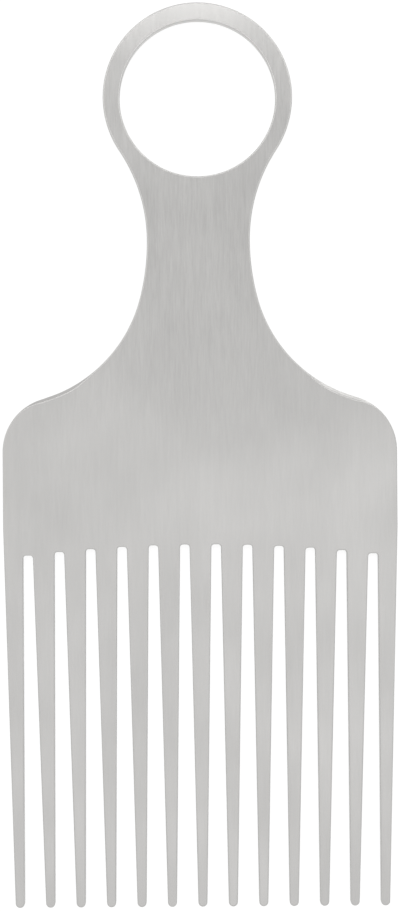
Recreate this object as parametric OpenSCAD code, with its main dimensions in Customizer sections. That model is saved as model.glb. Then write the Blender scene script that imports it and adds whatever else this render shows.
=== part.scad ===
// Afro pick: one flat blank of brushed stainless sheet with a ring handle, a waisted neck,
// sloping shoulders and a row of long tapering teeth.
//
// The pick lies on its back, front face up (+Z), with the ring towards +Y and the teeth
// towards -Y. The origin is on the resting face, at the middle of the length and the width.

/* [Sheet] */
// Thickness of the steel sheet
sheet_t = 1.5; // [1:0.1:3]

/* [Ring handle] */
// Diameter of the finger hole
hole_d = 31; // [24:0.2:40]
// Width that the ring's wall would have all round, were the hole in its middle
ring_wall = 3.35; // [2:0.05:6]
// How far the hole sits below the middle of the ring, which leaves the ring widest at its top
hole_drop = 0.25; // [0:0.05:0.5]

/* [Neck] */
// Width of the neck at the waist
neck_w = 20.5; // [14:0.5:26]
// Radius of the hollow between the ring and the waist
waist_r = 32.8; // [20:0.1:60]
// Radius of the gentle hollow just below the waist
swell_r = 45; // [30:1:60]
// How far the gentle hollow turns, in degrees
swell_turn = 15; // [5:1:25]

/* [Shoulders] */
// Lean of the straight shoulder away from the pick's length, in degrees
shoulder_lean = 71.5; // [60:0.5:80]
// Length of the straight stretch of each shoulder
shoulder_l = 2; // [0.5:0.5:6]
// Radius of the shoulder corners
corner_r = 11; // [5:0.5:14]
// Width of the ground bevel on the shoulders, seen from the front
bevel_w = 0.6; // [0.3:0.1:1]
// Depth of that bevel into the sheet
bevel_h = 0.5; // [0.3:0.1:0.8]
// How far the bevel runs on round the hollow above the straight stretch, in degrees
bevel_lead = 15; // [5:1:30]
// How far the bevel runs on round the corner below it, in degrees
bevel_trail = 10; // [4:1:30]

/* [Blade] */
// Width of the blade above the teeth
blade_w = 78.5; // [66:0.5:96]
// Height of the plain band from the middle slots to the foot of the shoulder corners
plain_h = 18.55; // [8:0.05:40]
// How far above the middle slots the sides start to draw in
draw_in_h = 3.4; // [0.5:0.1:6]

/* [Teeth] */
// Number of teeth, an odd number so that one stands on the centre line
tooth_count = 13; // [9:2:15]
// Length of the middle teeth
tooth_l = 72.1; // [50:0.1:90]
// Width of each slot at its top
slot_w = 1.9; // [1.4:0.1:2.6]
// Width of the two outermost teeth at their roots
side_tooth_w = 3.925; // [3:0.025:5]
// How much closer together the teeth stand at their tips than at their roots
tip_draw = 0.19; // [0:0.01:0.4]
// Radius in the two corners at each slot's top
slot_corner_r = 0.6; // [0.2:0.05:0.65]
// Radius of the round tooth tips
tip_r = 0.9; // [0.6:0.05:1.1]
// Radius of the wide arc that the slot tops follow
crown_r = 295; // [150:5:600]

/* [Hidden] */

// How far a cutter runs past the face that it cuts
overrun = 1;
// How far an arc runs past a line or arc that it is tangent to, so that their edges cross
hair = 0.0005;
// How far an arc's cutter runs on past its ends where nothing is left to cut, in degrees
lap_turn = 2;
// Reach of a sector's sides beyond its arc, as a share of the arc's radius
sector_share = 1.5;
// Fineness of the previewed circles
$fn = 180;

// Places below are [x, height above the middle slots] until the blank is laid on the origin.

// The last tooth, counted out from the centre, and what the blade's width leaves for the others
last_tooth = (tooth_count - 1) / 2;
tooth_w = (blade_w - 2 * side_tooth_w - (tooth_count - 1) * slot_w) / (tooth_count - 2);
root_pitch = tooth_w + slot_w;
tip_pitch = root_pitch - tip_draw;

// Right shoulder corner, then the straight stretch and the hollows above it, each tangent to the last
corner_c = [blade_w / 2 - corner_r, plain_h];
shoulder_low = corner_c + corner_r * heading(shoulder_lean);
shoulder_high = shoulder_low + shoulder_l * [-sin(shoulder_lean), cos(shoulder_lean)];
swell_in = swell_r * (1 - cos(swell_turn));
flare_r = (shoulder_high.x - neck_w / 2 - swell_in) / (cos(swell_turn) - cos(shoulder_lean));
flare_c = shoulder_high + flare_r * heading(shoulder_lean);
swell_end = flare_c - flare_r * heading(swell_turn);
swell_c = swell_end + swell_r * heading(swell_turn);
waist = swell_c - [swell_r, 0];
waist_c = waist + [waist_r, 0];

// Ring, tangent to the hollow above the waist
ring_r = hole_d / 2 + ring_wall;
ring_c = [0, waist.y + sqrt(pow(ring_r + waist_r, 2) - pow(waist_c.x, 2))];
hole_c = ring_c - [0, hole_drop];
ring_turn = bearing(ring_c - waist_c);
ring_foot = waist_c + waist_r * heading(ring_turn);
overall_l = tooth_l + ring_c.y + ring_r;

// Section of what the grinder takes off: outwards and up from the foot of the bevel
bevel_points = [[bevel_w, -bevel_h], [bevel_w, 2 * bevel_h], [-2 * bevel_w, 2 * bevel_h]];
// How far the straight bevel runs on over the start of the corner's
bevel_lap = corner_r * sin(bevel_trail / 2);

// Where the right side starts to draw in towards the last tooth
side_foot = [blade_w / 2, draw_in_h];

// Direction of an angle measured up from +X
function heading(angle) = [cos(angle), sin(angle)];

// Angle of a direction measured up from +X
function bearing(v) = atan2(v.y, v.x);

function unit(v) = v / norm(v);

function mirrored(points) = [for (i = [len(points) - 1:-1:0]) [-points[i].x, points[i].y]];

// Point where a line from a point touches a circle; side is 1 with the circle on its left, or -1
function touch(from, centre, r, side) =
    let (
        to = centre - from,
        away = norm(to),
        turn = bearing(to) - side * asin(r / away)
    )
    from + sqrt(away * away - r * r) * heading(turn);

// Centre of the round tip of tooth k, counted from the middle
function tip_c(k) = [k * tip_pitch, tip_r - tooth_l];

// Top of one flank of tooth k; side is 1 on its right and -1 on its left
function flank_top(k, side) =
    k * side == last_tooth ? [side * side_foot.x, side_foot.y]
    : [k * root_pitch + side * tooth_w / 2, 0];

// Point where that flank runs into the round tip, a hair inside it
function flank_foot(k, side) = touch(flank_top(k, side), tip_c(k), tip_r - hair, -side);

// Height of the top of the slot on the right of tooth k, on the wide arc
function slot_top(k) =
    let (x = (k + 1 / 2) * root_pitch)
    sqrt(crown_r * crown_r - x * x) - crown_r;

// Square direction from a slot into tooth k, at one flank
function into_tooth(k, side) =
    let (down = unit(flank_foot(k, side) - flank_top(k, side)))
    side * [down.y, -down.x];

// Centre of the corner between that flank and the top of its slot
function slot_corner_c(k, side) =
    let (
        from = flank_top(k, side),
        down = unit(flank_foot(k, side) - from),
        into = into_tooth(k, side),
        top = slot_top(side > 0 ? k : k - 1),
        run = (top - slot_corner_r + slot_corner_r * into.y - from.y) / down.y
    )
    from + run * down - slot_corner_r * into;

// Outline of one slot's top, from the left flank of tooth k to the right flank of the tooth before
function slot_points(k) =
    let (
        right = slot_corner_c(k, -1),
        left = slot_corner_c(k - 1, 1)
    )
    [
        right + slot_corner_r * into_tooth(k, -1),
        right + [0, slot_corner_r],
        left + [0, slot_corner_r],
        left + slot_corner_r * into_tooth(k - 1, 1)
    ];

// Outline of the right side from the ring to the last tooth, with a chord for each arc
right_side = [
    ring_foot,
    waist,
    swell_end,
    shoulder_high,
    corner_c + (corner_r - hair) * heading(shoulder_lean),
    corner_c + (corner_r - hair) * heading(0),
    side_foot
];

// Outline of the comb from the right tooth to the left one, with a chord for each tip and corner
teeth_row = [
    for (k = [last_tooth:-1:-last_tooth])
        each concat(
            [flank_foot(k, 1), flank_foot(k, -1)],
            k > -last_tooth ? slot_points(k) : []
        )
];

// The same shape on both sides of the centre line
module both_sides() {
    children();
    mirror([1, 0, 0])
        children();
}

// A disc as thick as the sheet
module disc(centre, r) {
    translate(centre)
        cylinder(h = sheet_t, r = r);
}

// A round hole right through the sheet
module hole(centre, r) {
    translate([centre.x, centre.y, -overrun])
        cylinder(h = sheet_t + 2 * overrun, r = r);
}

// A hollow in the outline: the part of a round hole between two directions from its centre
module hollow(centre, r, from, to) {
    intersection() {
        hole(centre, r);
        translate([centre.x, centre.y, -overrun])
            linear_extrude(sheet_t + 2 * overrun)
                polygon([
                    [0, 0],
                    (1 + sector_share) * r * heading(from),
                    (1 + sector_share) * r * heading(to)
                ]);
    }
}

// The right side's hollows: from the ring to the waist, below it, and the flare out to the shoulder
module hollows() {
    hollow(waist_c, waist_r + hair, ring_turn - lap_turn, 180 + lap_turn);
    hollow(swell_c, swell_r, 180, 180 + swell_turn);
    hollow(flare_c, flare_r + hair, 180 + swell_turn - lap_turn, 180 + shoulder_lean + lap_turn);
}

// The blank as it is cut from the sheet
module blank() {
    difference() {
        union() {
            linear_extrude(sheet_t)
                polygon(concat(right_side, teeth_row, mirrored(right_side)));
            disc(ring_c, ring_r);
            both_sides()
                disc(corner_c, corner_r);
            for (k = [-last_tooth:last_tooth])
                disc(tip_c(k), tip_r);
        }
        hole(hole_c, hole_d / 2);
        both_sides()
            hollows();
        for (k = [1 - last_tooth:last_tooth]) {
            hole(slot_corner_c(k, -1), slot_corner_r + hair);
            hole(slot_corner_c(k - 1, 1), slot_corner_r + hair);
        }
    }
}

// The bevel's cutter round an arc; out is 1 when the metal ends outside the arc, or -1
module bevel_arc(centre, r, out, from, turn) {
    translate([centre.x, centre.y, sheet_t - bevel_h])
        rotate(from)
            rotate_extrude(angle = turn)
                polygon([for (p = bevel_points) [r + out * p.x, p.y]]);
}

// What the grinder takes off the right shoulder's front edge
module bevel_cut() {
    // Round the hollow
    bevel_arc(flare_c, flare_r + hair, -1, 180 + shoulder_lean - bevel_lead, bevel_lead + lap_turn);
    // Along the straight stretch
    translate([shoulder_high.x, shoulder_high.y, sheet_t - bevel_h])
        rotate([90, 0, shoulder_lean])
            linear_extrude(shoulder_l + bevel_lap)
                polygon(bevel_points);
    // Round the corner
    bevel_arc(corner_c, corner_r + hair, 1, shoulder_lean - bevel_trail, bevel_trail);
}

module pick() {
    color([0.77, 0.77, 0.76])
        translate([0, tooth_l - overall_l / 2, 0])
            difference() {
                blank();
                both_sides()
                    bevel_cut();
            }
}

pick();
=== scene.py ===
import logging
import math
from dataclasses import dataclass, field
from enum import Enum

import bmesh
import bpy
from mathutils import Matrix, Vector
from mathutils.geometry import delaunay_2d_cdt


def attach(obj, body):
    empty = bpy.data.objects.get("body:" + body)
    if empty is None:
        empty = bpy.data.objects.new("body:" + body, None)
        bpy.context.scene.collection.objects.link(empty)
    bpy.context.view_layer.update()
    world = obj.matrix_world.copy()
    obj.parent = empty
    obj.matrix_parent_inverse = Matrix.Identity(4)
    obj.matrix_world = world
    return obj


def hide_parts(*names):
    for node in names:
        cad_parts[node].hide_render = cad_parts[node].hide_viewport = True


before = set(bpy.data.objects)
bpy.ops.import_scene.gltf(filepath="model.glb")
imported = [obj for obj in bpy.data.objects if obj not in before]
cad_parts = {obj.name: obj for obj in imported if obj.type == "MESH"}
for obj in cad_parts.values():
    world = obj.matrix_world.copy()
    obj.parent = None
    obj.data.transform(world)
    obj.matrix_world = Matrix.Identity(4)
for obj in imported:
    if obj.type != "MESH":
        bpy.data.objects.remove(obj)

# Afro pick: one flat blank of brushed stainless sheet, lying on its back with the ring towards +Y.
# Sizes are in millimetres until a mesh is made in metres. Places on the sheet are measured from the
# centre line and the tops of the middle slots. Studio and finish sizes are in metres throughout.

LOG = logging.getLogger("afro_pick")
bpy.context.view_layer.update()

Point = tuple[float, float]
Place = tuple[float, float, float]
Colour = tuple[float, float, float, float]
Socket = bpy.types.NodeSocket

# A millimetre in metres
MM = 0.001
# Lengths that differ by less than this many millimetres count as equal
NEAR = 0.0001
# Corners that are closer than this many millimetres become one
WELD = 0.002
# Fewest stretches that an arc of the outline is drawn with
FEWEST_STRETCHES = 4
# The span that most of a noise's values lie in
NOISE_SPAN = (0.3, 0.7)
# Full height of the marks in a finish, in metres
MARK_HEIGHT = 0.0002
# The sheet's own map, whose first axis runs across the brushing
GRAIN_MAP = "grain"


class Surface(Enum):
    """The two finishes that the sheet shows."""

    FACE = "brushed_face"
    EDGE = "cut_edge"


class Mark(Enum):
    """The marks that the row of teeth carries only while it is being made."""

    SLOT = "slot_number"
    CROWN = "crown_follow"


class Nodes:
    """A node tree with short calls for adding and joining its nodes."""

    def __init__(self, tree: bpy.types.NodeTree) -> None:
        """Keeps the tree and empties it.

        Args:
            tree: The shader or geometry tree to fill.
        """
        self.tree = tree
        tree.nodes.clear()

    def add(self, kind: str, settings: dict[str, object] | None = None, **inputs: object) -> bpy.types.Node:
        """Adds a node, sets its options, and sets or joins its inputs.

        Args:
            kind: The node's type name.
            settings: Options of the node itself.
            **inputs: Inputs by name with spaces as underscores, or by number after an i; a value or a socket.

        Returns:
            The new node.
        """
        node = self.tree.nodes.new(kind)
        for name, value in (settings or {}).items():
            setattr(node, name, value)
        for name, value in inputs.items():
            socket = node.inputs[int(name[1:])] if name[1:].isdigit() else node.inputs[name.replace("_", " ")]
            if isinstance(value, Socket):
                self.tree.links.new(value, socket)
            else:
                socket.default_value = value
        return node

    def math(self, operation: str, a: object, b: object = 0.0, c: object = 0.0) -> Socket:
        """Works out a number from up to three others.

        Args:
            operation: The Math node's operation.
            a: First value or socket.
            b: Second value or socket.
            c: Third value or socket.

        Returns:
            The socket with the result.
        """
        return self.add("ShaderNodeMath", {"operation": operation}, i0=a, i1=b, i2=c).outputs[0]

    def ramp(self, value: Socket, span: tuple[object, object], becomes: tuple[object, object],
             smooth: bool = False) -> Socket:
        """Carries a range of numbers over to another, held at its ends.

        Args:
            value: The socket to read.
            span: Start and end of the range that is read, as values or sockets.
            becomes: What the start and the end become.
            smooth: Whether the change eases in and out.

        Returns:
            The socket with the result.
        """
        kind = "SMOOTHSTEP" if smooth else "LINEAR"
        return self.add("ShaderNodeMapRange", {"interpolation_type": kind, "clamp": True}, Value=value,
                        From_Min=span[0], From_Max=span[1], To_Min=becomes[0],
                        To_Max=becomes[1]).outputs["Result"]

    def attribute(self, name: str, kind: str) -> Socket:
        """Reads a named attribute of the mesh.

        Args:
            name: The attribute's name.
            kind: Its data type.

        Returns:
            The socket with its value.
        """
        return self.add("GeometryNodeInputNamedAttribute", {"data_type": kind}, Name=name).outputs["Attribute"]

    def metal(self, colour: Colour, tone: Socket, rough: Socket, height: Socket, depth: float,
              **more: object) -> None:
        """Makes the tree a bare metal.

        Args:
            colour: The metal's colour.
            tone: How much lighter or darker it is from place to place.
            rough: Its roughness.
            height: Height of the marks in it.
            depth: How strongly those marks show.
            **more: Further inputs of the shader, by name.
        """
        shade = self.add("ShaderNodeVectorMath", {"operation": "SCALE"}, i0=colour[:3], Scale=tone).outputs[0]
        bump = self.add("ShaderNodeBump", Strength=depth, Distance=MARK_HEIGHT, Height=height).outputs[0]
        shader = self.add("ShaderNodeBsdfPrincipled", Base_Color=shade, Metallic=1.0, Roughness=rough,
                          Normal=bump, **more).outputs[0]
        self.add("ShaderNodeOutputMaterial", Surface=shader)


def new_material(name: str) -> tuple[bpy.types.Material, Nodes]:
    """Starts a material.

    Args:
        name: The material's name.

    Returns:
        The material and its empty tree.
    """
    material = bpy.data.materials.new(name)
    material.use_nodes = True
    return material, Nodes(material.node_tree)


def around(middle: float, spread: float) -> Point:
    """Gives the span that reaches as far below a value as above it."""
    return middle - spread, middle + spread


@dataclass(frozen=True)
class Noise:
    """A cloudy pattern: how many clouds to the metre, and how much finer detail they hold."""

    scale: float
    detail: float
    roughness: float
    distortion: float = 0.0

    def draw(self, nodes: Nodes, place: Socket) -> Socket:
        """Draws the pattern.

        Args:
            nodes: The material's tree.
            place: The coordinates that it is drawn on.

        Returns:
            The socket with its value.
        """
        return nodes.add("ShaderNodeTexNoise", {"noise_dimensions": "3D"}, Vector=place, Scale=self.scale,
                         Detail=self.detail, Roughness=self.roughness, Distortion=self.distortion).outputs["Fac"]


@dataclass(frozen=True)
class Grain:
    """Brushed lines along the pick: lines to the metre across it, breaks to the metre along it, and detail."""

    across: float
    along: float
    detail: float
    roughness: float = 0.6

    def draw(self, nodes: Nodes, place: Socket) -> Socket:
        """Draws the lines.

        Args:
            nodes: The material's tree.
            place: Object coordinates.

        Returns:
            The socket with the lines' height.
        """
        stretch = (self.across, self.along, self.along)
        stretched = nodes.add("ShaderNodeMapping", Vector=place, Scale=stretch).outputs[0]
        return Noise(1.0, self.detail, self.roughness).draw(nodes, stretched)


@dataclass(frozen=True)
class BrushedFace:
    """Long-grain brushed stainless: fine lines along the pick, a slow drift in tone and a few faint smudges."""

    colour: Colour = (0.60, 0.593, 0.583, 1.0)
    roughness: float = 0.24
    roughness_spread: float = 0.012
    anisotropy: float = 0.95
    fine: Grain = Grain(3600.0, 260.0, 3.0)
    broad: Grain = Grain(600.0, 65.0, 2.0)
    grain_tone: float = 0.048
    grain_depth: float = 0.025
    faint_share: float = 0.45
    blade_to_neck: Point = (0.0, 0.035)
    ring_to_top: Point = (0.08, 0.088)
    drift: Noise = Noise(45.0, 2.0, 0.45)
    drift_tone: float = 0.055
    smudge: Noise = Noise(60.0, 2.0, 0.5, 0.3)
    smudge_span: Point = (0.45, 0.75)
    smudge_roughness: float = 0.02

    def build(self) -> bpy.types.Material:
        """Makes the material.

        Returns:
            The brushed material.
        """
        material, nodes = new_material(Surface.FACE.value)
        place = nodes.add("ShaderNodeTexCoord").outputs["Object"]
        fine = self.fine.draw(nodes, place)
        drift = nodes.ramp(self.drift.draw(nodes, place), NOISE_SPAN, around(1.0, self.drift_tone))
        tone = nodes.math("ADD", drift, self.lines(nodes, place, fine))
        smudge = nodes.ramp(self.smudge.draw(nodes, place), self.smudge_span, (0.0, self.smudge_roughness), True)
        rough = nodes.ramp(fine, NOISE_SPAN, around(self.roughness, self.roughness_spread))
        rough = nodes.math("ADD", rough, smudge)
        tangent = nodes.add("ShaderNodeTangent", {"direction_type": "UV_MAP", "uv_map": GRAIN_MAP}).outputs[0]
        nodes.metal(self.colour, tone, rough, fine, self.grain_depth, Anisotropic=self.anisotropy, Tangent=tangent)
        return material

    def lines(self, nodes: Nodes, place: Socket, fine: Socket) -> Socket:
        """Gives what the grain adds to the tone: all of it on the neck, less on the blade and the ring's top.

        Args:
            nodes: The material's tree.
            place: Object coordinates.
            fine: Height of the fine lines.

        Returns:
            The socket with the added tone.
        """
        along = nodes.add("ShaderNodeSeparateXYZ", i0=place).outputs["Y"]
        broad = self.broad.draw(nodes, place)
        lines = nodes.math("ADD", nodes.ramp(fine, NOISE_SPAN, around(0.0, self.grain_tone)),
                           nodes.ramp(broad, NOISE_SPAN, around(0.0, self.grain_tone / 2)))
        rise = nodes.ramp(along, self.blade_to_neck, (self.faint_share, 1.0), True)
        fall = nodes.ramp(along, self.ring_to_top, (1.0, self.faint_share), True)
        return nodes.math("MULTIPLY", nodes.math("MULTIPLY", lines, rise), fall)


@dataclass(frozen=True)
class CutEdge:
    """The tumbled wall and rounded corners of the sheet: duller than the faces, with faint tool marks."""

    colour: Colour = (0.60, 0.593, 0.583, 1.0)
    roughness: Point = (0.36, 0.46)
    marks: Noise = Noise(1400.0, 3.0, 0.55)
    mark_depth: float = 0.05
    wear: Noise = Noise(160.0, 2.0, 0.5)
    wear_tone: float = 0.03

    def build(self) -> bpy.types.Material:
        """Makes the material.

        Returns:
            The cut edge's material.
        """
        material, nodes = new_material(Surface.EDGE.value)
        place = nodes.add("ShaderNodeTexCoord").outputs["Object"]
        marks = self.marks.draw(nodes, place)
        tone = nodes.ramp(self.wear.draw(nodes, place), NOISE_SPAN, around(1.0, self.wear_tone))
        rough = nodes.ramp(marks, NOISE_SPAN, self.roughness)
        nodes.metal(self.colour, tone, rough, marks, self.mark_depth)
        return material


def heading(degrees: float) -> Vector:
    """Gives the direction of an angle measured up from +X."""
    return Vector((math.cos(math.radians(degrees)), math.sin(math.radians(degrees))))


def bearing(way: Vector) -> float:
    """Gives the angle of a direction measured up from +X, in degrees."""
    return math.degrees(math.atan2(way.y, way.x))


def mirrored(place: Vector) -> Vector:
    """Gives the same place or direction on the other side of the centre line."""
    return Vector((-place.x, place.y))


@dataclass(frozen=True)
class Rim:
    """A place on the outline: where it is, which way the metal ends there, and how far the bevel has come in."""

    at: Vector
    out: Vector
    bevel: float = 0.0

    def mirrored(self) -> "Rim":
        """Gives the same place on the other side of the centre line."""
        return Rim(mirrored(self.at), mirrored(self.out), self.bevel)


def arc(centre: Vector, radius: float, start: float, end: float, step: float, hollow: bool = False) -> list[Rim]:
    """Follows an arc of the outline.

    Args:
        centre: The arc's centre.
        radius: Its radius.
        start: Angle at which it starts, in degrees.
        end: Angle at which it ends.
        step: Longest stretch between two places, in millimetres.
        hollow: Whether the metal lies outside the arc.

    Returns:
        The places along it, both ends included.
    """
    count = max(FEWEST_STRETCHES, math.ceil(abs(math.radians(end - start)) * radius / step))
    ways = [heading(start + (end - start) * i / count) for i in range(count + 1)]
    return [Rim(centre + radius * way, -way if hollow else way) for way in ways]


def line(start: Vector, end: Vector, count: int) -> list[Rim]:
    """Follows a straight stretch, with the metal on the right of the way it runs.

    Args:
        start: Where it starts.
        end: Where it ends.
        count: Number of equal stretches.

    Returns:
        The places along it, both ends included.
    """
    way = (end - start).normalized()
    out = Vector((-way.y, way.x))
    return [Rim(start.lerp(end, i / count), out) for i in range(count + 1)]


def touch(start: Vector, centre: Vector, radius: float, side: int) -> Vector:
    """Finds where a line from a point touches a circle.

    Args:
        start: The point.
        centre: The circle's centre.
        radius: Its radius.
        side: 1 with the circle on the line's left, or -1.

    Returns:
        The touching point.
    """
    way = centre - start
    turn = bearing(way) - side * math.degrees(math.asin(radius / way.length))
    return start + math.sqrt(way.length_squared - radius * radius) * heading(turn)


@dataclass(frozen=True)
class Sheet:
    """The stainless sheet and how its cut edges are finished."""

    thickness: float = 1.5
    edge_r: float = 0.16
    edge_steps: int = 6
    bevel_w: float = 0.6
    bevel_h: float = 0.5
    # How far the softened ends of the bevel run on past it, as a share of its width
    bevel_soft: float = 0.18
    # Where the bevel's section has its points, as shares of its width: one fewer than the rounded edge's steps,
    # so that one section can turn into the other point by point
    bevel_stops: tuple[float, ...] = (0.06, 0.06, 0.13, 0.77, 0.86)
    # Width of the level strip beside the edge, which keeps the shading of the faces even
    flat_lip: float = 0.12

    def section(self, bevel: float) -> list[Point]:
        """Gives the edge's section from the back face round to the front face.

        Args:
            bevel: 0 for the plain rounded edge, 1 for the ground bevel.

        Returns:
            Points of how far in from the outline and how high above the back face.
        """
        r, t = self.edge_r, self.thickness
        turns = [math.pi / 2 * i / self.edge_steps for i in range(self.edge_steps + 1)]
        back = [(r + self.flat_lip, 0.0)] + [(r * (1 - math.sin(a)), r * (1 - math.cos(a))) for a in turns]
        rounded = [(r * (1 - math.cos(a)), t - r * (1 - math.sin(a))) for a in turns]
        soft = self.bevel_soft * self.bevel_w
        ground = [(self.bevel_w * s, t - self.bevel_h * (1 - s)) for s in self.bevel_stops]
        ground = [(0.0, t - self.bevel_h - soft)] + ground + [(self.bevel_w + soft, t)]
        front = [(a[0] + (b[0] - a[0]) * bevel, a[1] + (b[1] - a[1]) * bevel) for a, b in zip(rounded, ground)]
        return back + front + [(front[-1][0] + self.flat_lip, t)]


@dataclass
class Pieces:
    """Corners and faces of a mesh while it is being made, with a mark for those of the cut edge."""

    corners: list[Place] = field(default_factory=list)
    faces: list[tuple[int, ...]] = field(default_factory=list)
    edge: list[bool] = field(default_factory=list)

    def corner(self, place: Vector, height: float) -> int:
        """Adds a corner and gives its number."""
        self.corners.append((place.x * MM, place.y * MM, height * MM))
        return len(self.corners) - 1

    def face(self, numbers: list[int], edge: bool) -> None:
        """Adds a face, leaving out corners that repeat.

        Args:
            numbers: Its corners, anticlockwise as seen from outside.
            edge: Whether it belongs to the cut edge.
        """
        kept = [n for i, n in enumerate(numbers) if n != numbers[i - 1]]
        if len(kept) > 2:
            self.faces.append(tuple(kept))
            self.edge.append(edge)

    def wrap(self, rims: list[Rim], sheet: Sheet, closed: bool = False) -> list[list[int]]:
        """Lays the edge's section along an outline that has the metal on its right.

        Args:
            rims: The places along the outline.
            sheet: The sheet with its section.
            closed: Whether the last place joins the first.

        Returns:
            For each place, the numbers of its corners from the back face to the front face.
        """
        rows = []
        for rim in rims:
            section = sheet.section(rim.bevel)
            rows.append([self.corner(rim.at - rim.out * inset, height) for inset, height in section])
        pairs = list(zip(rows, rows[1:])) + ([(rows[-1], rows[0])] if closed else [])
        for one, two in pairs:
            for i in range(len(one) - 1):
                self.face([one[i], one[i + 1], two[i + 1], two[i]], edge=True)
        return rows

    def mesh(self, name: str) -> bpy.types.Mesh:
        """Makes the mesh, with the cut edge's mark on its faces.

        Args:
            name: The mesh's name.

        Returns:
            The mesh.
        """
        mesh = bpy.data.meshes.new(name)
        mesh.from_pydata(self.corners, [], self.faces)
        mesh.attributes.new(Surface.EDGE.value, "BOOLEAN", "FACE").data.foreach_set("value", self.edge)
        return mesh


@dataclass(frozen=True)
class Station:
    """A place round a slot, the inner point its strip of face reaches to, and its share of the crown's drop."""

    rim: Rim
    reach: Vector
    follow: float

    def mirrored(self) -> "Station":
        """Gives the same place on the slot's other side."""
        return Station(self.rim.mirrored(), mirrored(self.reach), self.follow)


@dataclass
class Comb:
    """The row of tapering teeth: one slot between two half teeth, repeated and fanned by a rule."""

    sheet: Sheet
    blade_w: float = 78.5
    tooth_count: int = 13
    tooth_l: float = 72.1
    slot_w: float = 1.9
    side_tooth_w: float = 3.925
    tip_draw: float = 0.19
    slot_corner_r: float = 0.6
    tip_r: float = 0.9
    crown_r: float = 295.0
    # Height of the line on which the row joins the blade
    seam_h: float = 1.2
    # Longest stretch in the small arcs, and the number of stretches in half a slot's top and in a flank
    fine_step: float = 0.12
    top_steps: int = 2
    flank_steps: int = 8

    def __post_init__(self) -> None:
        """Works out the spacing and the slot's half outline."""
        self.slots = self.tooth_count - 1
        self.tooth_w = (self.blade_w - 2 * self.side_tooth_w - self.slots * self.slot_w) / (self.tooth_count - 2)
        self.root_pitch = self.tooth_w + self.slot_w
        self.tip_pitch = self.root_pitch - self.tip_draw
        self.tip_y = self.tip_r - self.tooth_l
        self.half = self.half_slot()

    def pitch(self, y: float) -> float:
        """Gives the teeth's spacing at a height above the middle slots' tops."""
        share = min(max((y - self.tip_y) / -self.tip_y, 0.0), 1.0)
        return self.tip_pitch + (self.root_pitch - self.tip_pitch) * share

    def tooth_middle(self, y: float) -> Vector:
        """Gives the point at a height on the centre line of the tooth right of the middle slot."""
        return Vector((self.pitch(y) / 2, y))

    def half_slot(self) -> list[Station]:
        """Follows the right half of a middle slot down to the next tooth's tip.

        Returns:
            The places along it.
        """
        top = Vector((self.slot_w / 2, 0.0))
        tip = Vector((self.tip_pitch / 2, self.tip_y))
        foot = touch(top, tip, self.tip_r, 1)
        down = (foot - top).normalized()
        into = Vector((-down.y, down.x))
        run = (-self.slot_corner_r + self.slot_corner_r * into.y - top.y) / down.y
        centre = top + run * down - self.slot_corner_r * into
        self.taper = -down.x / down.y
        level = [Rim(Vector((centre.x * i / self.top_steps, 0.0)), Vector((0.0, -1.0)))
                 for i in range(self.top_steps + 1)]
        corner = arc(centre, self.slot_corner_r, 90.0, bearing(into), self.fine_step, hollow=True)[1:]
        flank = [Rim(corner[-1].at.lerp(foot, i / self.flank_steps), -into)
                 for i in range(1, self.flank_steps + 1)]
        point = arc(tip, self.tip_r, bearing(-into) % 360, 270.0, self.fine_step)[1:]
        reach = self.reach_above(len(corner)) + self.reach_below(flank, point)
        follow = [1.0] * len(level + corner) + [0.0] * len(flank + point)
        return [Station(*place) for place in zip(level + corner + flank + point, reach, follow)]

    def reach_above(self, corner_steps: int) -> list[Vector]:
        """Gives the inner points of a slot's top and corner, along the seam and down to the flank's start.

        Args:
            corner_steps: Number of places round the slot's corner.

        Returns:
            A point for each place.
        """
        quarter = self.root_pitch / 4
        points = [Vector((quarter * i / self.top_steps, self.seam_h)) for i in range(self.top_steps + 1)]
        whole = quarter + self.seam_h
        for i in range(1, corner_steps + 1):
            along = whole * i / corner_steps
            if i < corner_steps and abs(along - quarter) < whole / corner_steps / 2:
                along = quarter
            if along <= quarter:
                points.append(Vector((quarter + along, self.seam_h)))
            else:
                points.append(self.tooth_middle(self.seam_h - (along - quarter)))
        return points

    def reach_below(self, flank: list[Rim], point: list[Rim]) -> list[Vector]:
        """Gives the inner points of a flank and of half a round tip, down the tooth's middle.

        Args:
            flank: The places along the flank.
            point: The places round the tip.

        Returns:
            A point for each place.
        """
        high = flank[-1].at.y
        low = point[-1].at.y + self.sheet.section(0.0)[-1][0]
        heights = [rim.at.y for rim in flank]
        heights += [high + (low - high) * i / len(point) for i in range(1, len(point) + 1)]
        return [self.tooth_middle(y) for y in heights]

    def slot_mesh(self) -> bpy.types.Mesh:
        """Makes one middle slot with the half teeth beside it, centred on the slot.

        Returns:
            The mesh, with a mark on the corners that follow the crown.
        """
        course = ([place.mirrored() for place in self.half[:0:-1]] + self.half)[::-1]
        made = Pieces()
        rows = made.wrap([place.rim for place in course], self.sheet)
        ends = (0, len(course) - 1)
        back = [rows[i][0] if i in ends else made.corner(place.reach, 0.0) for i, place in enumerate(course)]
        front = [rows[i][-1] if i in ends else made.corner(place.reach, self.sheet.thickness)
                 for i, place in enumerate(course)]
        for i in range(len(course) - 1):
            made.face([rows[i][-1], front[i], front[i + 1], rows[i + 1][-1]], edge=False)
            made.face([rows[i][0], rows[i + 1][0], back[i + 1], back[i]], edge=False)
        mesh = made.mesh("slot")
        follow = [0.0] * len(made.corners)
        for row, place in zip(rows, course):
            for number in row:
                follow[number] = place.follow
        mesh.attributes.new(Mark.CROWN.value, "FLOAT", "POINT").data.foreach_set("value", follow)
        return mesh

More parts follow.
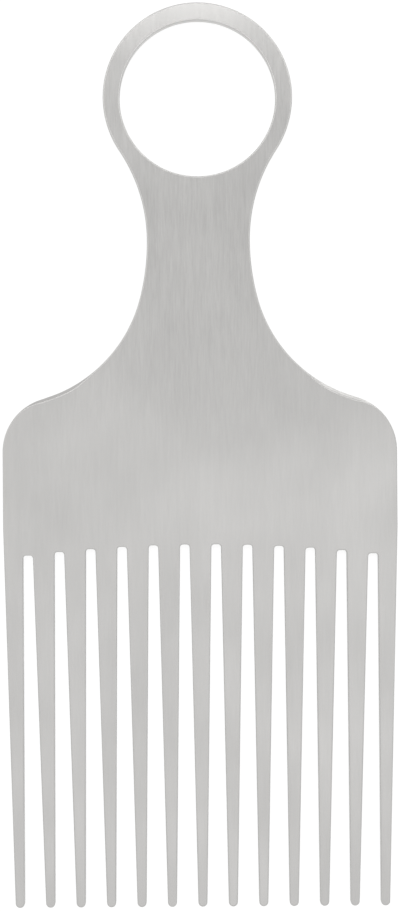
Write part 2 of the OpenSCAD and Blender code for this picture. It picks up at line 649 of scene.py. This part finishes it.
    def seam(self) -> list[Vector]:
        """Gives the inner points that the row shares with the blade and the outer half teeth.

        Returns:
            Points from the right outermost tooth's tip up its middle, along the seam, and down the left one's.
        """
        last = self.slots / 2
        points = [place.reach for place in self.half]
        down = [v for v in points if v.y < self.seam_h - NEAR or abs(v.x - self.root_pitch / 2) < NEAR]
        middle = [Vector((last * self.pitch(v.y), v.y)) for v in down]
        across = sorted({round(side * v.x, 4) for v in points for side in (-1, 1)
                         if abs(v.y - self.seam_h) < NEAR and v.x < self.root_pitch / 2 + NEAR})
        places: list[Vector] = []
        for slot in range(self.slots):
            start = (slot - (self.slots - 1) / 2) * self.root_pitch
            places += [Vector((start + x, self.seam_h)) for x in across[(0 if slot == 0 else 1):]]
        inner = [v for v in places[::-1] if abs(v.x) < last * self.root_pitch - NEAR]
        return middle[::-1] + inner + [mirrored(v) for v in middle]

    def inputs(self) -> dict[str, float]:
        """Gives the named inputs of the row's node tree, with lengths in metres."""
        return {"Slots": self.slots, "Root pitch": self.root_pitch * MM, "Tip pitch": self.tip_pitch * MM,
                "Tip height": self.tip_y * MM, "Crown radius": self.crown_r * MM, "Flank taper": self.taper}

    def tree(self, face: bpy.types.Material, edge: bpy.types.Material) -> bpy.types.NodeTree:
        """Builds the node tree that repeats the slot and fans the row.

        Args:
            face: Material of the brushed faces.
            edge: Material of the cut edge.

        Returns:
            The tree.
        """
        tree = bpy.data.node_groups.new("tooth_row", "GeometryNodeTree")
        tree.interface.new_socket("Geometry", in_out="INPUT", socket_type="NodeSocketGeometry")
        for name, value in self.inputs().items():
            kind = "NodeSocketInt" if isinstance(value, int) else "NodeSocketFloat"
            tree.interface.new_socket(name, in_out="INPUT", socket_type=kind)
        tree.interface.new_socket("Geometry", in_out="OUTPUT", socket_type="NodeSocketGeometry")
        nodes = Nodes(tree)
        given = nodes.add("NodeGroupInput").outputs
        spots = nodes.add("GeometryNodeMeshLine", Count=given["Slots"], Offset=(0.0, 0.0, 0.0)).outputs[0]
        number = nodes.add("GeometryNodeInputIndex").outputs[0]
        spots = nodes.add("GeometryNodeStoreNamedAttribute", {"data_type": "FLOAT", "domain": "POINT"},
                          Geometry=spots, Name=Mark.SLOT.value, Value=number).outputs[0]
        row = nodes.add("GeometryNodeInstanceOnPoints", Points=spots, Instance=given["Geometry"]).outputs[0]
        # The slots have to be real before each corner can be moved by its slot's number
        row = nodes.add("GeometryNodeRealizeInstances", Geometry=row).outputs[0]
        moved = self.fanned(nodes, given)
        row = nodes.add("GeometryNodeSetPosition", Geometry=row, Position=moved).outputs[0]
        row = nodes.add("GeometryNodeMergeByDistance", Geometry=row, Distance=WELD * MM).outputs[0]
        row = nodes.add("GeometryNodeRealizeInstances", Geometry=row).outputs[0]
        row = nodes.add("GeometryNodeSetMaterial", Geometry=row, Material=face).outputs[0]
        row = nodes.add("GeometryNodeSetMaterial", Geometry=row, Material=edge,
                        Selection=nodes.attribute(Surface.EDGE.value, "BOOLEAN")).outputs[0]
        nodes.add("NodeGroupOutput", Geometry=row)
        return tree

    @staticmethod
    def fanned(nodes: Nodes, given: bpy.types.NodeOutputs) -> Socket:
        """Works out a corner's place: out at its slot, down along the crown, and drawn in towards the tips.

        Args:
            nodes: The row's tree.
            given: The tree's named inputs.

        Returns:
            The socket with the place.
        """
        place = nodes.add("ShaderNodeSeparateXYZ",
                          i0=nodes.add("GeometryNodeInputPosition").outputs[0]).outputs
        number = nodes.attribute(Mark.SLOT.value, "FLOAT")
        follow = nodes.attribute(Mark.CROWN.value, "FLOAT")
        half_row = nodes.math("DIVIDE", nodes.math("SUBTRACT", given["Slots"], 1.0), 2.0)
        from_middle = nodes.math("SUBTRACT", number, half_row)
        out = nodes.math("MULTIPLY", from_middle, given["Root pitch"])
        radius = given["Crown radius"]
        depth = nodes.math("SUBTRACT", nodes.math("MULTIPLY", radius, radius), nodes.math("MULTIPLY", out, out))
        drop = nodes.math("MULTIPLY", nodes.math("SUBTRACT", nodes.math("SQRT", depth), radius), follow)
        y = nodes.math("ADD", place["Y"], drop)
        spacing = nodes.ramp(y, (given["Tip height"], 0.0), (given["Tip pitch"], given["Root pitch"]))
        x = nodes.math("MULTIPLY_ADD", from_middle, spacing, place["X"])
        side = nodes.math("SIGN", place["X"])
        widen = nodes.math("MULTIPLY", side, nodes.math("MULTIPLY", drop, given["Flank taper"]))
        x = nodes.math("SUBTRACT", x, widen)
        return nodes.add("ShaderNodeCombineXYZ", X=x, Y=y, Z=place["Z"]).outputs[0]

    def build(self, face: bpy.types.Material, edge: bpy.types.Material) -> bpy.types.Mesh:
        """Makes the whole row as a plain mesh.

        Args:
            face: Material of the brushed faces.
            edge: Material of the cut edge.

        Returns:
            The row's mesh, open where it joins the blade.
        """
        holder = bpy.data.objects.new("tooth_row", self.slot_mesh())
        bpy.context.scene.collection.objects.link(holder)
        modifier = holder.modifiers.new("tooth_row", "NODES")
        modifier.node_group = self.tree(face, edge)
        sizes = self.inputs()
        for item in modifier.node_group.interface.items_tree:
            if item.in_out == "INPUT" and item.name in sizes:
                modifier[item.identifier] = sizes[item.name]
        depsgraph = bpy.context.evaluated_depsgraph_get()
        mesh = bpy.data.meshes.new_from_object(holder.evaluated_get(depsgraph))
        holder.modifiers.remove(modifier)
        bpy.data.objects.remove(holder)
        return mesh


@dataclass
class Handle:
    """The ring, the waisted neck, the shoulders and the blade above the teeth."""

    sheet: Sheet
    comb: Comb
    hole_d: float = 31.0
    ring_wall: float = 3.35
    hole_drop: float = 0.25
    neck_w: float = 20.5
    waist_r: float = 32.8
    swell_r: float = 45.0
    swell_turn: float = 15.0
    shoulder_lean: float = 71.5
    shoulder_l: float = 2.0
    corner_r: float = 11.0
    plain_h: float = 18.55
    draw_in_h: float = 3.4
    bevel_lead: float = 15.0
    bevel_trail: float = 10.0
    # Length over which the bevel comes in or runs out
    bevel_fade: float = 7.0
    # Longest stretch in each arc
    ring_step: float = 0.5
    hole_step: float = 0.45
    neck_step: float = 0.8
    flare_step: float = 0.4
    corner_step: float = 0.35
    # Number of stretches in each straight part of the outline
    straight_steps: int = 4
    taper_steps: int = 12
    # How close the faces' corners and outlines have to be to count as touching
    cap_near: float = 1e-7

    def __post_init__(self) -> None:
        """Works out the centres of the arcs, each tangent to the last."""
        lean, turn = self.shoulder_lean, self.swell_turn
        self.corner_c = Vector((self.comb.blade_w / 2 - self.corner_r, self.plain_h))
        self.shoulder_low = self.corner_c + self.corner_r * heading(lean)
        self.shoulder_high = self.shoulder_low + self.shoulder_l * heading(lean + 90)
        swell_in = self.swell_r * (1 - math.cos(math.radians(turn)))
        span = math.cos(math.radians(turn)) - math.cos(math.radians(lean))
        self.flare_r = (self.shoulder_high.x - self.neck_w / 2 - swell_in) / span
        self.flare_c = self.shoulder_high + self.flare_r * heading(lean)
        self.swell_c = self.flare_c + (self.swell_r - self.flare_r) * heading(turn)
        self.waist_c = self.swell_c + Vector((self.waist_r - self.swell_r, 0.0))
        self.ring_r = self.hole_d / 2 + self.ring_wall
        rise = math.sqrt((self.ring_r + self.waist_r) ** 2 - self.waist_c.x ** 2)
        self.ring_c = Vector((0.0, self.waist_c.y + rise))
        self.length = self.comb.tooth_l + self.ring_c.y + self.ring_r

    def bevelled(self, rim: Rim, way: float, begin: float, end: float, radius: float) -> Rim:
        """Lets the ground bevel come in or run out along an arc.

        Args:
            rim: A place on the arc.
            way: Its angle there, in degrees.
            begin: Angle at which the bevel is half gone.
            end: Angle on the bevel's full side.
            radius: The arc's radius.

        Returns:
            The place with its share of the bevel.
        """
        inside = math.radians(abs(end - begin) - abs(end - way)) * radius
        share = min(max(inside / self.bevel_fade + 0.5, 0.0), 1.0)
        return Rim(rim.at, rim.out, share * share * (3 - 2 * share))

    def shoulder(self) -> list[list[Rim]]:
        """Follows the flare, the straight stretch and the corner of the right shoulder, with its bevel.

        Returns:
            The places along each of the three.
        """
        lean = self.shoulder_lean
        flare = arc(self.flare_c, self.flare_r, 180 + self.swell_turn, 180 + lean, self.flare_step, hollow=True)
        flare = [self.bevelled(rim, bearing(-rim.out) % 360, 180 + lean - self.bevel_lead, 180 + lean,
                               self.flare_r) for rim in flare]
        straight = line(self.shoulder_high, self.shoulder_low, self.straight_steps)
        straight = [Rim(rim.at, rim.out, 1.0) for rim in straight]
        corner = arc(self.corner_c, self.corner_r, lean, 0.0, self.corner_step)
        corner = [self.bevelled(rim, bearing(rim.out), lean - self.bevel_trail, lean, self.corner_r)
                  for rim in corner]
        return [flare, straight, corner]

    def right_side(self) -> list[Rim]:
        """Follows the outline from the ring's top down the right side to the last tooth's tip.

        Returns:
            The places along it.
        """
        comb = self.comb
        foot_turn = bearing(self.waist_c - self.ring_c)
        ring = arc(self.ring_c, self.ring_r, 90.0, foot_turn, self.ring_step)
        waist = arc(self.waist_c, self.waist_r, foot_turn + 180, 180.0, self.neck_step, hollow=True)
        swell = arc(self.swell_c, self.swell_r, 180.0, 180 + self.swell_turn, self.neck_step, hollow=True)
        shoulder = self.shoulder()
        foot = Vector((comb.blade_w / 2, self.draw_in_h))
        side = line(shoulder[-1][-1].at, foot, self.straight_steps)
        tip = Vector((comb.slots / 2 * comb.tip_pitch, comb.tip_y))
        taper = line(foot, touch(foot, tip, comb.tip_r, -1), self.taper_steps)
        side[-1] = Rim(foot, (side[-1].out + taper[0].out).normalized())
        point = arc(tip, comb.tip_r, bearing(taper[-1].out), -90.0, comb.fine_step)
        runs = [waist, swell, *shoulder, side, taper, point]
        return ring + [rim for run in runs for rim in run[1:]]

    def build(self) -> Pieces:
        """Makes the handle and blade with the outer halves of the outermost teeth.

        Returns:
            The mesh's pieces, open where the row of teeth joins.
        """
        made = Pieces()
        right = self.right_side()
        rows = made.wrap([rim.mirrored() for rim in right[:0:-1]] + right, self.sheet)
        hole_c = self.ring_c - Vector((0.0, self.hole_drop))
        hole = arc(hole_c, self.hole_d / 2, 0.0, 360.0, self.hole_step, hollow=True)[1:]
        hole = made.wrap(hole, self.sheet, closed=True)
        seam = self.comb.seam()
        for which, height in ((0, 0.0), (-1, self.sheet.thickness)):
            outer = [row[which] for row in rows]
            inner = [made.corner(v, height) for v in seam[1:-1]]
            self.cap(made, outer + inner, [row[which] for row in hole], front=which == -1)
        return made

    def cap(self, made: Pieces, outer: list[int], hole: list[int], front: bool) -> None:
        """Closes a face of the sheet round its hole.

        Args:
            made: The mesh's pieces.
            outer: Corners round the face.
            hole: Corners round the hole.
            front: Whether it is the front face.
        """
        numbers = outer + hole
        flat = [Vector(made.corners[n][:2]) / MM for n in numbers]
        count = len(outer)
        edges = [(i, (i + 1) % count) for i in range(count)]
        edges += [(count + i, count + (i + 1) % len(hole)) for i in range(len(hole))]
        # The 1 asks for triangles that lie inside the outlines; those that fill the hole are left out below
        _, _, faces, origin, _, _ = delaunay_2d_cdt(flat, edges, [], 1, self.cap_near)
        for face in faces:
            places = [origin[i][0] for i in face]
            if min(places) < count:
                corners = [numbers[i] for i in places]
                made.face(corners if front else corners[::-1], edge=False)


@dataclass
class Pick:
    """The whole pick, as one closed piece."""

    face: BrushedFace = field(default_factory=BrushedFace)
    edge: CutEdge = field(default_factory=CutEdge)
    sheet: Sheet = field(default_factory=Sheet)
    # Length of the sheet, in metres, that one unit of its own map covers
    map_length: float = 0.2

    def build(self) -> bpy.types.Object:
        """Makes the pick, puts it on the row's origin and lets it stand for the solid.

        Returns:
            The finished piece.
        """
        comb = Comb(self.sheet)
        handle = Handle(self.sheet, comb)
        blade, row = self.skins(handle, comb)
        joined = bmesh.new()
        joined.from_mesh(blade)
        joined.from_mesh(row)
        bpy.data.meshes.remove(row)
        bmesh.ops.remove_doubles(joined, verts=joined.verts, dist=WELD * MM)
        lift = (comb.tooth_l - handle.length / 2) * MM
        bmesh.ops.translate(joined, verts=joined.verts, vec=(0.0, lift, 0.0))
        bmesh.ops.recalc_face_normals(joined, faces=joined.faces)
        self.lay_map(joined)
        open_edges = sum(1 for edge in joined.edges if len(edge.link_faces) != 2)
        volume = joined.calc_volume() / MM ** 3
        joined.to_mesh(blade)
        joined.free()
        for name in (Mark.SLOT.value, Mark.CROWN.value, Surface.EDGE.value):
            if name in blade.attributes:
                blade.attributes.remove(blade.attributes[name])
        piece = bpy.data.objects.new("pick_skin", blade)
        bpy.context.scene.collection.objects.link(piece)
        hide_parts("pick")
        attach(piece, "root")
        LOG.info("pick: %d faces, %d open edges, %.1f mm3", len(blade.polygons), open_edges, volume)
        return piece

    def skins(self, handle: Handle, comb: Comb) -> tuple[bpy.types.Mesh, bpy.types.Mesh]:
        """Makes and dresses the two meshes that are joined.

        Args:
            handle: The handle and blade.
            comb: The row of teeth.

        Returns:
            The blade's mesh and the row's, with their materials in the same order.
        """
        materials = (self.face.build(), self.edge.build())
        made = handle.build()
        blade = made.mesh("pick_skin")
        for material in materials:
            blade.materials.append(material)
        blade.polygons.foreach_set("material_index", [int(edge) for edge in made.edge])
        row = comb.build(*materials)
        order = [row.materials.find(material.name) for material in materials]
        for polygon in row.polygons:
            polygon.material_index = order.index(polygon.material_index)
        return blade, row

    def lay_map(self, joined: bmesh.types.BMesh) -> None:
        """Smooths the shading and lays the sheet's own map, which gives the brushing its direction.

        Args:
            joined: The joined skin.
        """
        grain = joined.loops.layers.uv.new(GRAIN_MAP)
        for face in joined.faces:
            face.smooth = True
            for loop in face.loops:
                place = loop.vert.co
                loop[grain].uv = (place.x / self.map_length + 0.5, place.y / self.map_length + 0.5)


@dataclass(frozen=True)
class SoftBox:
    """A soft lamp: its name, its place and two sides in metres, how bright its surface is, 1 for white, and
    whether it is turned to face the pick or hangs level."""

    name: str
    place: Place
    size: Point
    level: float
    aimed: bool = False

    def hang(self) -> None:
        """Makes the lamp and hangs it."""
        light = bpy.data.lights.new(self.name, "AREA")
        light.shape = "RECTANGLE"
        light.size, light.size_y = self.size
        light.energy = self.level * math.pi * self.size[0] * self.size[1]
        holder = bpy.data.objects.new(self.name, light)
        holder.location = self.place
        if self.aimed:
            holder.rotation_euler = (-Vector(self.place)).to_track_quat("-Z", "Y").to_euler()
        bpy.context.scene.collection.objects.link(holder)


def grey(level: float) -> Colour:
    """Gives the grey of a level, 1 for white."""
    return level, level, level, 1.0


@dataclass
class Studio:
    """The pale floor, the soft lamps and the camera straight above the pick."""

    sheet: Sheet = field(default_factory=Sheet)
    camera_height: float = 0.33
    view_length: float = 0.1814
    sensor: float = 36.0
    near_limit: float = 0.01
    roll: float = -0.4
    off_centre: Point = (0.00003, -0.0003)
    world_level: float = 0.69
    floor_side: float = 6.0
    # The floor as it lights the pick, and as it is seen: how pale it is and how much it glows
    floor_pale: float = 0.8
    floor_seen: float = 0.3
    floor_glow: float = 0.82
    lamps: tuple[SoftBox, ...] = (
        SoftBox("overhead", (0.0, -0.28, 0.92), (1.8, 1.23), 0.117),
        SoftBox("front", (0.375, -0.165, 0.9), (1.65, 0.39), 0.19),
        SoftBox("left", (-0.52, 0.182, 0.9), (0.76, 0.304), 0.185),
        SoftBox("crown", (-0.02, 0.4555, 0.88), (1.16, 0.225), 1.75),
        SoftBox("right_low", (0.5, 0.86, 0.2), (0.6, 0.4), 1.2, aimed=True),
    )

    def build(self) -> None:
        """Makes everything round the pick."""
        self.floor()
        self.world()
        for lamp in self.lamps:
            lamp.hang()
        self.camera()
        bpy.context.scene.view_settings.view_transform = "Standard"
        LOG.info("studio: floor, world, %d lamps and camera", len(self.lamps))

    def floor(self) -> None:
        """Makes the floor, which reads white and keeps the pick's shadow."""
        bpy.ops.mesh.primitive_plane_add(size=self.floor_side, location=(0.0, 0.0, 0.0))
        floor = bpy.context.active_object
        floor.name = "floor"
        material, nodes = new_material("floor")
        path = nodes.add("ShaderNodeLightPath").outputs
        seen = nodes.math("MAXIMUM", path["Is Camera Ray"], path["Is Glossy Ray"])
        seen = nodes.math("MAXIMUM", seen, path["Is Transmission Ray"])
        pale = nodes.add("ShaderNodeBsdfDiffuse", Color=grey(self.floor_pale)).outputs[0]
        dim = nodes.add("ShaderNodeBsdfDiffuse", Color=grey(self.floor_seen)).outputs[0]
        glow = nodes.add("ShaderNodeEmission", Color=grey(1.0), Strength=self.floor_glow).outputs[0]
        bright = nodes.add("ShaderNodeAddShader", i0=dim, i1=glow).outputs[0]
        mix = nodes.add("ShaderNodeMixShader", i0=seen, i1=pale, i2=bright).outputs[0]
        nodes.add("ShaderNodeOutputMaterial", Surface=mix)
        floor.data.materials.append(material)

    def world(self) -> None:
        """Fills the surroundings with soft light, white where the camera sees them."""
        world = bpy.data.worlds.new("studio")
        world.use_nodes = True
        nodes = Nodes(world.node_tree)
        seen = nodes.add("ShaderNodeLightPath").outputs["Is Camera Ray"]
        level = nodes.ramp(seen, (0.0, 1.0), (self.world_level, 1.0))
        back = nodes.add("ShaderNodeBackground", Color=grey(1.0), Strength=level).outputs[0]
        nodes.add("ShaderNodeOutputWorld", Surface=back)
        bpy.context.scene.world = world

    def camera(self) -> None:
        """Hangs the camera over the pick, looking straight down."""
        data = bpy.data.cameras.new("camera")
        data.sensor_width = self.sensor
        data.lens = self.sensor * self.camera_height / self.view_length
        data.clip_start = self.near_limit
        camera = bpy.data.objects.new("camera", data)
        camera.location = (*self.off_centre, self.camera_height + self.sheet.thickness * MM)
        camera.rotation_euler = (0.0, 0.0, math.radians(self.roll))
        bpy.context.scene.collection.objects.link(camera)
        bpy.context.scene.camera = camera


def main() -> None:
    """Builds the pick and the studio in order."""
    logging.basicConfig(level=logging.INFO, format="%(message)s")
    Pick().build()
    Studio().build()


if __name__ == "__main__":
    main()
